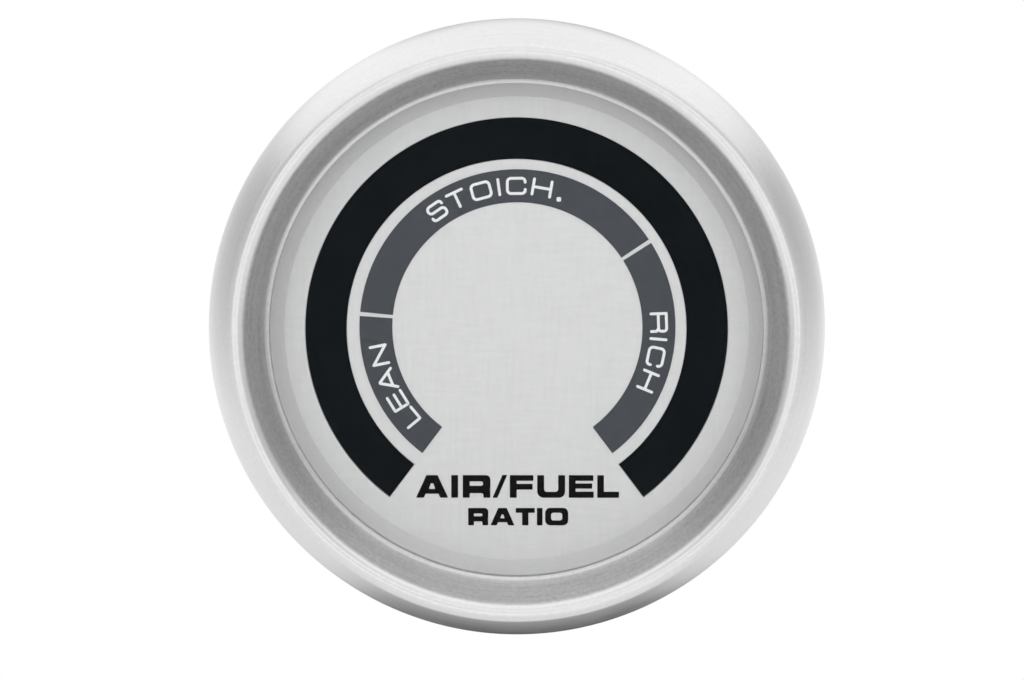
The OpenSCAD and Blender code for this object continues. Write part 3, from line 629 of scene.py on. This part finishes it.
plain_nodes = {
    "lens_gasket": lens_silicone, "case_gasket": gasket_rubber, "scale_band": band_ink,
    "display_window": window_smoke, "led_baffle": baffle_plastic, "lean_leds": lamp_red,
    "stoich_leds": lamp_yellow, "rich_leds": lamp_green, "display_board": board_green,
    "board_header": chip_plastic, "header_pins": pin_brass, "board_spacers": spacer_metal,
    "driver_board": board_green, "driver_chips": chip_plastic, "voltage_regulator": chip_plastic,
    "filter_capacitor": capacitor_sleeve, "protection_diode": chip_plastic,
    "resistors": resistor_coat, "board_screws": zinc_steel,
}
for node, material in plain_nodes.items():
    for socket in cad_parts[node].material_slots:
        socket.material = material


# Bezel, lens and spacer

def bezel():
    side = (BEZEL_R - SIDE_ROUND, HEM_ROUND)
    turn = math.degrees(math.asin((RIDGE_Z - CROWN_ROUND - HEM_ROUND) / (SIDE_ROUND - CROWN_ROUND)))
    reach = SIDE_ROUND - CROWN_ROUND
    crown = (side[0] + reach * math.cos(math.radians(turn)), side[1] + reach * math.sin(math.radians(turn)))
    # The funnel's straight side touches both the crown and the foot, which flattens out at the lip
    tilt = math.radians(FOOT_SLOPE)
    foot = (VIEW_R - FOOT_ROUND * math.sin(tilt), LIP_Z + FOOT_ROUND * math.cos(tilt))
    off = (crown[0] - foot[0], crown[1] - foot[1])
    rise = math.atan2(off[1], off[0])
    slope = math.degrees(rise + math.asin((CROWN_ROUND + FOOT_ROUND) / math.hypot(*off)))
    lean = math.radians(slope)
    start = (foot[0] + (FOOT_ROUND + WALL) * math.sin(lean), foot[1] - (FOOT_ROUND + WALL) * math.cos(lean))
    heel = (start[0] + (LAND_Z - start[1]) / math.tan(lean), LAND_Z)
    low = math.degrees(math.asin((WALL - HEM_ROUND) / (SIDE_ROUND - WALL)))
    points = [(HEM_R, 0, FOLD_ROUND), (BEZEL_R, 0, HEM_ROUND - 0.02)]
    points += arc(*side, SIDE_ROUND, 0.5, turn, 40)
    points += arc(*crown, CROWN_ROUND, turn, 90 + slope, 36)[1:]
    points += arc(*foot, FOOT_ROUND, slope - 90, FOOT_SLOPE - 90 + FOOT_SHORT, 16)
    points += [(VIEW_R, LIP_Z, LIP_ROUND / 2), (VIEW_R, LAND_Z, LAND_ROUND), heel]
    points += arc(*crown, CROWN_ROUND - WALL, 90 + slope, turn, 10)
    points += arc(*side, SIDE_ROUND - WALL, turn, low, 24)[1:]
    points += [(HEM_R, WALL, FOLD_ROUND)]
    outline = soft(points, 6, guard=0.2)
    # Long straight runs get rings of their own, so that the shading stays even
    dense = []
    for i, (r, z) in enumerate(outline):
        dense.append((r, z))
        r2, z2 = outline[(i + 1) % len(outline)]
        parts = int(math.hypot(r2 - r, z2 - z) / RING_STEP)
        dense += [(r + (r2 - r) * k / (parts + 1), z + (z2 - z) * k / (parts + 1))
                  for k in range(1, parts + 1)]
    return lathe("bezel_ring", dense, 360, sharp=40)


finished(bezel(), bezel_metal, nodes=["bezel"])

disc = [(0, LENS_BACK), (LENS_R, LENS_BACK, LENS_ROUND), (LENS_R, LENS_FRONT, LENS_ROUND), (0, LENS_FRONT)]
finished(lathe("lens_disc", soft(disc, 3, guard=0.2), 192), lens_clear, nodes=["lens"])

cone = [(DIAL_VIEW_R, DIAL_FRONT, CONE_ROUND - 0.01), (LENS_R, DIAL_FRONT, CONE_ROUND),
        (LENS_R, LENS_BACK, CONE_ROUND), (VIEW_R, LENS_BACK, CONE_ROUND + 0.01)]
finished(lathe("spacer_cone", soft(cone, 3, guard=0.2), 288), spacer_paint,
         nodes=["spacer_ring"])


# Dial and printing

def slot_outline(grow):
    """The arc slot, grown on all sides."""
    inner, outer = SLOT_IN_R - grow, SLOT_OUT_R + grow
    turn_in = math.degrees(math.asin(grow / inner))
    turn_out = math.degrees(math.asin(grow / outer))
    points = arc(0, 0, outer, SLOT_FROM - turn_out, SLOT_TO + turn_out, 240)
    points += arc(0, 0, inner, SLOT_TO + turn_in, SLOT_FROM - turn_in, 220)
    return [(x, y - SLOT_DROP) for x, y in points]


rim, rim_in = (arc(0, 0, r, 0, 360, 256)[:-1] for r in (DIAL_R, DIAL_R - DIAL_EDGE))
finished(plate("dial_plate", [rim, slot_outline(0)], DIAL_BACK, DIAL_FRONT, DIAL_EDGE,
               [rim_in, slot_outline(DIAL_EDGE)]), dial_silver, nodes=["dial"])

# Letters are drawn in the photograph's pixels: bold ones from their left end and
# baseline, as corners (x, y, radius), thin ones about their middle, as lines.
BOLD = {
    "A": ([(0, 0, 0.6), (10.1, 22.1, 0.8), (20.9, 22.1, 0.8), (31.3, 0, 0.6), (24, 0, 0.5), (22.3, 4, 0.8),
           (9, 4, 0.8), (7.2, 0, 0.5)],
          [(14.2, 14.4, 0.8), (17, 14.4, 0.8), (19.2, 8.2, 0.7), (12, 8.2, 0.7)]),
    "I": ([(0, 0, 0.5), (0, 22.1, 0.5), (6.2, 22.1, 0.5), (6.2, 0, 0.5)],),
    "R": ([(0, 0, 0.5), (0, 22.1, 0.5), (27.1, 22.1, 4.5), (27.1, 7.9, 2.6), (25.4, 7.6, 0.5), (27, 7, 1.6),
           (27, 0, 0.5), (20.6, 0, 0.5), (20.6, 4.6, 2), (6.4, 4.6, 0.4), (6.4, 0, 0.5)],
          [(6.4, 11.4, 0.5), (6.4, 16.4, 0.5), (20.4, 16.4, 2.2), (20.4, 11.4, 2.2)]),
    "/": ([(0, 0, 0.4), (9.6, 22.3, 0.4), (13.7, 22.3, 0.4), (4.2, 0, 0.4)],),
    "F": ([(0, 0, 0.5), (0, 22.1, 0.5), (23, 22.1, 0.5), (23, 17, 0.5), (6.3, 17, 0.4), (6.3, 13.4, 0.4),
           (22.2, 13.4, 0.5), (22.2, 8.2, 0.5), (6.3, 8.2, 0.4), (6.3, 0, 0.5)],),
    "U": ([(0, 22.1, 0.5), (0, 0, 6.2), (27.3, 0, 6.2), (27.3, 22.1, 0.5), (21, 22.1, 0.5), (21, 5.4, 2.6),
           (6.3, 5.4, 2.6), (6.3, 22.1, 0.5)],),
    "E": ([(0, 0, 0.5), (0, 22.1, 0.5), (24, 22.1, 0.5), (24, 17, 0.5), (6.2, 17, 0.4), (6.2, 13.8, 0.4),
           (22.8, 13.8, 0.5), (22.8, 9.2, 0.5), (6.2, 9.2, 0.4), (6.2, 5.6, 0.4), (24.3, 5.6, 0.5),
           (24.3, 0, 0.5)],),
    "L": ([(0, 0, 0.5), (0, 22.1, 0.5), (6, 22.1, 0.5), (6, 5.5, 0.4), (21.2, 5.5, 0.5), (21.2, 0, 0.5)],),
}
SMALL_BOLD = {
    "R": ([(0, 0, 0.4), (0, 16.8, 0.4), (19.5, 16.8, 3.6), (19.5, 6.2, 2), (18.3, 5.9, 0.4), (19.4, 5.4, 1.2),
           (19.4, 0, 0.4), (14.3, 0, 0.4), (14.3, 3.9, 1.4), (5.2, 3.9, 0.3), (5.2, 0, 0.4)],
          [(5.2, 8.5, 0.4), (5.2, 11.9, 0.4), (14.4, 11.9, 1.6), (14.4, 8.5, 1.6)]),
    "A": ([(0, 0, 0.4), (7.5, 16.8, 0.6), (15.6, 16.8, 0.6), (23.1, 0, 0.4), (17.5, 0, 0.4), (16.1, 3.1, 0.6),
           (7, 3.1, 0.6), (5.6, 0, 0.4)],
          [(10.5, 10.9, 0.6), (12.6, 10.9, 0.6), (14.1, 6.5, 0.5), (9, 6.5, 0.5)]),
    "T": ([(6.4, 0, 0.4), (6.4, 12.6, 0.3), (0, 12.6, 0.4), (0, 16.8, 0.4), (18.5, 16.8, 0.4),
           (18.5, 12.6, 0.4), (12.1, 12.6, 0.3), (12.1, 0, 0.4)],),
    "I": ([(0, 0, 0.4), (0, 16.8, 0.4), (5, 16.8, 0.4), (5, 0, 0.4)],),
    "O": ([(0, 0, 5), (0, 17, 5), (22.4, 17, 5), (22.4, 0, 5)],
          [(5.3, 4.3, 2.4), (5.3, 12.7, 2.4), (17.1, 12.7, 2.4), (17.1, 4.3, 2.4)]),
}
CAP = 7.6      # half the height of a thin letter's middle line
THIN = {
    "S": [[(8.1, 4.2), (8.1, CAP, 3), (-8.1, CAP, 3.4), (-8.1, 0.3, 3.4), (8.1, 0.3, 3.4), (8.1, -CAP, 3.4),
           (-8.1, -CAP, 3), (-8.1, -4.2)]],
    "T": [[(-8.3, CAP), (8.3, CAP)], [(0, CAP), (0, -CAP)]],
    "O": [[(-9.3, -CAP, 3.8), (-9.3, CAP, 3.8), (9.3, CAP, 3.8), (9.3, -CAP, 3.8)]],
    "I": [[(0, CAP), (0, -CAP)]],
    "C": [[(8.9, 3.6), (8.9, CAP, 3.4), (-8.9, CAP, 3.8), (-8.9, -CAP, 3.8), (8.9, -CAP, 3.4), (8.9, -3.6)]],
    "H": [[(-8.9, CAP), (-8.9, -CAP)], [(8.9, CAP), (8.9, -CAP)], [(-8.9, 0), (8.9, 0)]],
    "L": [[(-7.2, CAP), (-7.2, -CAP, 0.5), (7.2, -CAP)]],
    "E": [[(7.7, CAP), (-7.7, CAP, 0.5), (-7.7, -CAP, 0.5), (7.9, -CAP)], [(-7.7, 0), (7.2, 0)]],
    "A": [[(-9.9, -CAP), (-0.4, CAP)], [(0.4, CAP), (9.9, -CAP)], [(-7, -3.4), (7, -3.4)]],
    "N": [[(-9.1, -CAP), (-9.1, CAP)], [(-9.1, CAP), (9.1, -CAP)], [(9.1, -CAP), (9.1, CAP)]],
    "R": [[(-8.8, -CAP), (-8.8, CAP)], [(-8.8, CAP), (8.8, CAP, 2.8), (8.8, -0.4, 2.8), (-8.8, -0.4)],
          [(5.6, -0.4), (8.8, -2.2, 1.6), (8.8, -CAP)]],
}
BOLD_WORDS = (
    (BOLD, 497.7, (("A", 416.6), ("I", 451.7), ("R", 463.2), ("/", 493.2), ("F", 510.3), ("U", 537.7),
                   ("E", 569.3), ("L", 597.8))),
    (SMALL_BOLD, 525.4, (("R", 468.6), ("A", 491.1), ("T", 516.2), ("I", 537.4), ("O", 545.7))),
)
THIN_WORDS = {
    "word_stoich": (("S", 124.7), ("T", 115.4), ("O", 105.0), ("I", 97.7), ("C", 90.6), ("H", 80.1)),
    "word_rich": (("R", 1.9), ("I", -4.9), ("C", -12.1), ("H", -22.5)),
    "word_lean": (("L", 219.9), ("E", 211.7), ("A", 202.2), ("N", 191.5)),
}
LETTER_R = 12.92
STROKE = 2.8 / PHOTO_SCALE
BOLDER = 0.3            # how far each bold stroke's edge moves out, in pixels
DOT = (72.2, 12.28, 0.2, 0.08)      # angle, distance from the centre, half its side, corner
INK = 0.018
INK_STEP = 0.0006       # strokes that cross lie at heights of their own


def bold_outlines(outlines):
    """A bold letter's edge and its eyes, a little bolder."""
    edge, *eyes = outlines
    return [soft(widened(edge, BOLDER), 4)] + [soft(widened(eye, -BOLDER), 4) for eye in eyes]


def bold_words():
    bm = bmesh.new()
    for letters, baseline, word in BOLD_WORDS:
        for letter, left in word:
            loops = [[((left + x - PHOTO_AXIS[0]) / PHOTO_SCALE, (PHOTO_AXIS[1] - baseline + y) / PHOTO_SCALE)
                      for x, y in outline] for outline in bold_outlines(letters[letter])]
            add_plate(bm, loops, DIAL_FRONT, DIAL_FRONT + INK)
    return from_bmesh("words_air_fuel_ratio", bm, 20, 0.0002)


def thin_word(name, letters):
    bm = bmesh.new()
    level = 0
    for letter, turn in letters:
        up = Vector((math.cos(math.radians(turn)), math.sin(math.radians(turn))))
        along = Vector((up.y, -up.x))
        for line in THIN[letter]:
            level += 1
            closed = letter == "O"
            path = [(x / PHOTO_SCALE, y / PHOTO_SCALE) for x, y in soft(line, 5, closed)]
            pairs = [[BAND_PLACE + up * (LETTER_R + p.y) + along * p.x for p in pair]
                     for pair in stroke(path, STROKE, closed)]
            add_strip(bm, pairs, BAND_FRONT, BAND_FRONT + INK + INK_STEP * (level % 4), closed)
    if name == "word_stoich":
        turn, r, size, corner = DOT
        centre = BAND_PLACE + Vector((math.cos(math.radians(turn)), math.sin(math.radians(turn)))) * r
        square = soft([(centre.x + x * size, centre.y + y * size, corner)
                       for x, y in ((-1, -1), (-1, 1), (1, 1), (1, -1))], 4)
        add_plate(bm, [square], BAND_FRONT, BAND_FRONT + INK)
    return from_bmesh(name, bm, 20, 0.0002)


finished(bold_words(), black_ink)
for name, letters in THIN_WORDS.items():
    finished(thin_word(name, letters), white_ink)


# Case and hardware

def threads(side):
    """A stud: head inside the case, a helical thread and a chamfered end."""
    top, low = CASE_BACK - STUD_DIP, STUD_END
    steps = STUD_STEPS
    whole = (int((top - low) / PITCH) + 2) * steps
    bm = bmesh.new()

    def spot(k, r, z):
        a = 2 * math.pi * k / steps
        return bm.verts.new(place(side * STUD_X + r * math.cos(a), -r * math.sin(a), z))

    grid = {}
    for k in range(whole + 1):
        for j, (share, deep) in enumerate(THREAD):
            z = min(top, max(low, top + PITCH - (k / steps + share) * PITCH))
            run_in = min(1.0, max(0.0, (top - z) / PITCH))
            grid[k, j] = spot(k, min(STUD_R - deep * run_in, STUD_R - STUD_CHAMFER + max(0.0, z - low)), z)
    last = len(THREAD) - 1
    for k in range(whole):
        for j in range(last):
            bm.faces.new((grid[k, j], grid[k + 1, j], grid[k + 1, j + 1], grid[k, j + 1]))
        if k + steps + 1 <= whole:
            bm.faces.new((grid[k, last], grid[k + 1, last], grid[k + 1 + steps, 0], grid[k + steps, 0]))
    bmesh.ops.remove_doubles(bm, verts=bm.verts, dist=WELD / 1000)
    bmesh.ops.dissolve_degenerate(bm, dist=SLIVER / 1000, edges=bm.edges)
    bm.faces.new([spot(k, STUD_R - STUD_CHAMFER, low) for k in range(steps)])
    under, over = (CASE_BACK + z for z in HEAD_Z)
    shank = [[spot(k, r, z) for k in range(steps)]
             for r, z in ((STUD_R, top), (STUD_R, under), (HEAD_R, under), (HEAD_R, over), (0, over))]
    for one, two in zip(shank, shank[1:]):
        for k in range(steps):
            m = (k + 1) % steps
            bm.faces.new((one[k], one[m], two[m], two[k]))
    return from_bmesh("stud_" + ("left" if side < 0 else "right"), bm, 28)


for stud in [threads(side) for side in (-1, 1)]:
    finished(stud, zinc_steel, nodes=["mounting_studs"])

# name, node, width of its rounded edges, material, slot and body
for name, node, width, finish, slot, body in (
        ("barrel_case", "case", 0.22, case_plastic, "case_plastic", "gauge"),
        ("socket_shell", "connector_shell", 0.18, connector_nylon, "connector_nylon", "gauge"),
        ("socket_pins", "connector_pins", 0.14, pin_brass, "pin_brass", "gauge"),
        ("stud_washer_rings", "stud_washers", 0.12, zinc_steel, "zinc_steel", "gauge"),
        ("stud_hex_nuts", "stud_nuts", 0.12, zinc_steel, "zinc_steel", "gauge"),
        ("strap", "bracket", 0.2, bracket_zinc, "bracket_zinc", "clamp"),
        ("strap_washers", "clamp_washers", 0.12, zinc_steel, "zinc_steel", "clamp")):
    finished(softened(name, node, width), finish, body, [node])
for side in ("left", "right"):
    finished(softened("knurled_nut_" + side, "thumb_nut_" + side, 0.1, 2), nut_brass,
             "thumb_nut_" + side, ["thumb_nut_" + side])


# Floor, light and camera

FLOOR_Z = -0.075
FLOOR_R = 0.24
FLOOR_FADE = (0.45, 0.98)       # the floor fades out between these shares of its radius
KEY_PLACE, KEY_SIZE, KEY_POWER = (-0.05, -0.45, 0.75), 0.5, 0.8

# What the metal and the lens mirror. Each pair is a span over which a value
# comes in; x, y and z are those of the direction, and y points away from the camera.
UPRIGHT = ((0.0, 0.86), (0.32, 0.89), (0.5, 0.65), (0.6, 0.54), (0.73, 0.47),
           (0.805, 1.02), (0.9, 1.08), (1.0, 1.0))      # level by height, from below to above
RISE, RISE_POWER = 1.6, 4.0                             # the levels lie lower towards the back
FRONT, FRONT_SPAN = 1.14, (-0.80, -0.96)                # bright around the camera
FAR, FAR_SPAN = 0.65, (0.78, 1.0)                       # brighter at the back, just over the horizon
FAR_LOW, FAR_HIGH = (-0.25, 0.0), (0.72, 0.42)
WEDGE, WEDGE_SPAN = 1.0, (0.2, 1.05)                    # dark in a narrow wedge, low at the back
WEDGE_HEIGHT, WEDGE_WIDTH = (0.42, 0.16), (0.6, 0.34)
PATCH, PATCH_SPAN = 0.97, (0.9925, 0.9965)              # dark where the camera stands
# What lights all that isn't a mirror
SKY, SKY_TILT, SKY_FRONT, SKY_SPAN = 0.64, -0.32, 1.2, (-0.3, -1.0)


def floor():
    bm = bmesh.new()
    bmesh.ops.create_circle(bm, cap_ends=True, segments=128, radius=FLOOR_R)
    mesh = bpy.data.meshes.new("floor")
    bm.to_mesh(mesh)
    bm.free()
    obj = bpy.data.objects.new("floor", mesh)
    obj.location.z = FLOOR_Z
    scene.collection.objects.link(obj)
    f = Finish("floor_paper", roughness=0.9, specular_ior_level=0.1)
    f.colour(f.colours(f.noise(60, 3), (0.3, grey(0.84)), (0.7, grey(0.86))))
    f.clear_where(f.between(f.length(f.spot()), 0.0, 1.0, *[FLOOR_R * share for share in FLOOR_FADE]))
    mesh.materials.append(f.material)
    obj.visible_glossy = False


def studio():
    """A soft surround: bright above and below, grey around the horizon.

    It is dark in a wedge low at the back, and where the camera stands. The camera itself sees white."""
    world = bpy.data.worlds.new("studio")
    scene.world = world
    world.use_nodes = True
    f = Nodes(world.node_tree)
    f.nodes.clear()
    split = f.node("ShaderNodeSeparateXYZ", Vector=f.node("ShaderNodeTexCoord").outputs["Generated"])
    x, y, z = split.outputs

    def ramp(value, span, high=1.0):
        made = f.nodes.new("ShaderNodeMapRange")
        made.interpolation_type = "SMOOTHSTEP"
        f.links.new(value, made.inputs["Value"])
        made.inputs["From Min"].default_value = span[0]
        made.inputs["From Max"].default_value = span[1]
        made.inputs["To Max"].default_value = high
        return made.outputs["Result"]

    behind = f.math("POWER", f.math("MAXIMUM", y, 0.0), RISE_POWER)
    raised = f.times(z, f.math("MULTIPLY_ADD", behind, RISE, 1.0))
    upright = [(stop, grey(value)) for stop, value in UPRIGHT]
    level = f.colours(f.math("MULTIPLY_ADD", raised, 0.5, 0.5), *upright)
    aside = f.times(ramp(z, FAR_LOW), ramp(raised, FAR_HIGH), ramp(y, FAR_SPAN))
    level = f.times(level, f.math("MULTIPLY_ADD", aside, FAR, 1.0))
    level = f.blend(ramp(y, FRONT_SPAN), level, (FRONT, FRONT, FRONT, 1))
    across = f.math("SQRT", f.math("ADD", f.times(x, x), f.times(z, z)))
    width = f.math("DIVIDE", f.math("ABSOLUTE", x), f.math("ADD", across, 0.0001))
    wedge = f.times(ramp(width, WEDGE_WIDTH), ramp(y, WEDGE_SPAN), ramp(z, WEDGE_HEIGHT), WEDGE)
    level = f.times(level, f.less(wedge))
    tilt = math.radians(ELEVATION)
    mirror = f.math("MULTIPLY_ADD", z, -math.sin(tilt), f.times(y, -math.cos(tilt)))
    level = f.times(level, f.less(ramp(mirror, PATCH_SPAN, PATCH)))
    rays = f.nodes.new("ShaderNodeLightPath")
    mirrored = f.math("MAXIMUM", rays.outputs["Is Glossy Ray"], rays.outputs["Is Transmission Ray"])
    sky = f.math("ADD", f.math("MULTIPLY_ADD", z, SKY_TILT, SKY), ramp(y, SKY_SPAN, SKY_FRONT))
    level = f.math("ADD", f.times(level, mirrored), f.times(sky, f.less(mirrored)))
    seen = rays.outputs["Is Camera Ray"]
    level = f.math("ADD", f.times(level, f.less(seen)), seen)
    background = f.node("ShaderNodeBackground", Color=(1, 1, 1, 1), Strength=level)
    f.node("ShaderNodeOutputWorld", Surface=background.outputs[0])


def soft_box(name, where, size, power):
    data = bpy.data.lights.new(name, "AREA")
    data.shape = "DISK"
    data.size = size
    data.energy = power
    lamp = bpy.data.objects.new(name, data)
    lamp.location = where
    lamp.rotation_euler = (-Vector(where)).to_track_quat("-Z", "Y").to_euler()
    lamp.visible_glossy = False
    scene.collection.objects.link(lamp)


floor()
studio()
soft_box("key_light", KEY_PLACE, KEY_SIZE, KEY_POWER)

camera_data = bpy.data.cameras.new("camera")
camera_data.lens = FOCAL
camera_data.sensor_width = SENSOR
camera_data.clip_start, camera_data.clip_end = CLIP
camera_data.shift_x, camera_data.shift_y = SHIFT
camera = bpy.data.objects.new("camera", camera_data)
camera.location = TARGET - SIGHT * EYE
camera.rotation_euler = SIGHT.to_track_quat("-Z", "Y").to_euler()
scene.collection.objects.link(camera)
scene.camera = camera
